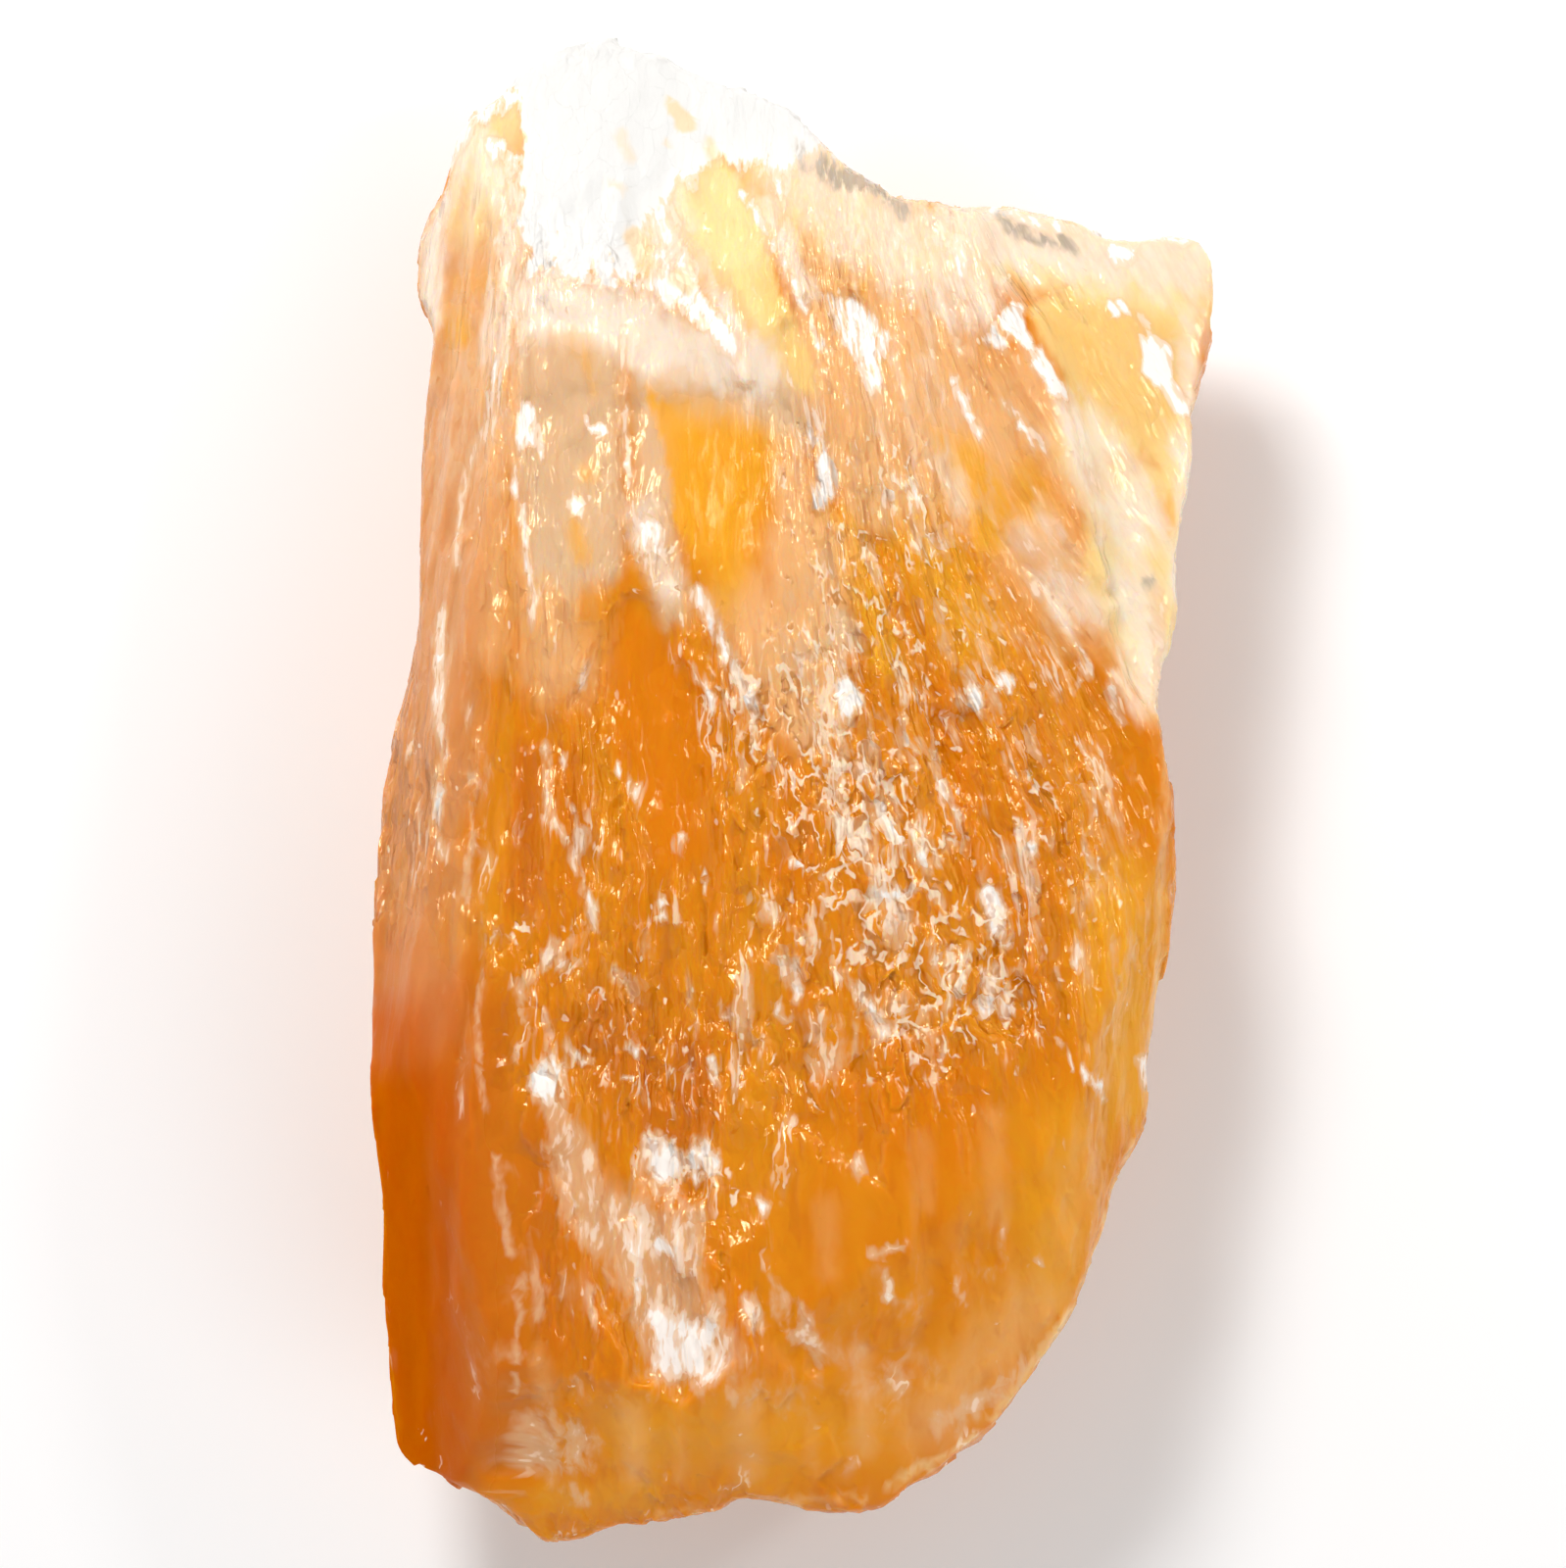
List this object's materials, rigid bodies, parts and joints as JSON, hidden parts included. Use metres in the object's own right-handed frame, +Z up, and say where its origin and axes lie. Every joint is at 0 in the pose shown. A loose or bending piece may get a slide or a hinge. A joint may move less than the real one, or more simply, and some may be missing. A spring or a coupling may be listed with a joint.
{
  "type": "orange calcite",
  "caption": "Rough hand specimen of banded orange calcite: a flat, fibrous cleavage slab with a frosted white end, lying on a flat broken face.",
  "frame": {"origin": "Middle of the outline seen from above, level with the flat face it rests on.", "axes": "+Z up, out of the fibrous front face. +Y along the fibres, towards the white end. +X across the front, towards the thin clear flange."},
  "size_m": [0.0432, 0.078, 0.021],
  "materials": {
    "orange_calcite": "waxy to glassy cleavage, frosted at the white end"
  },
  "bodies": {
    "root": {"calcite_lump": "orange_calcite"}
  },
  "joints": []
}
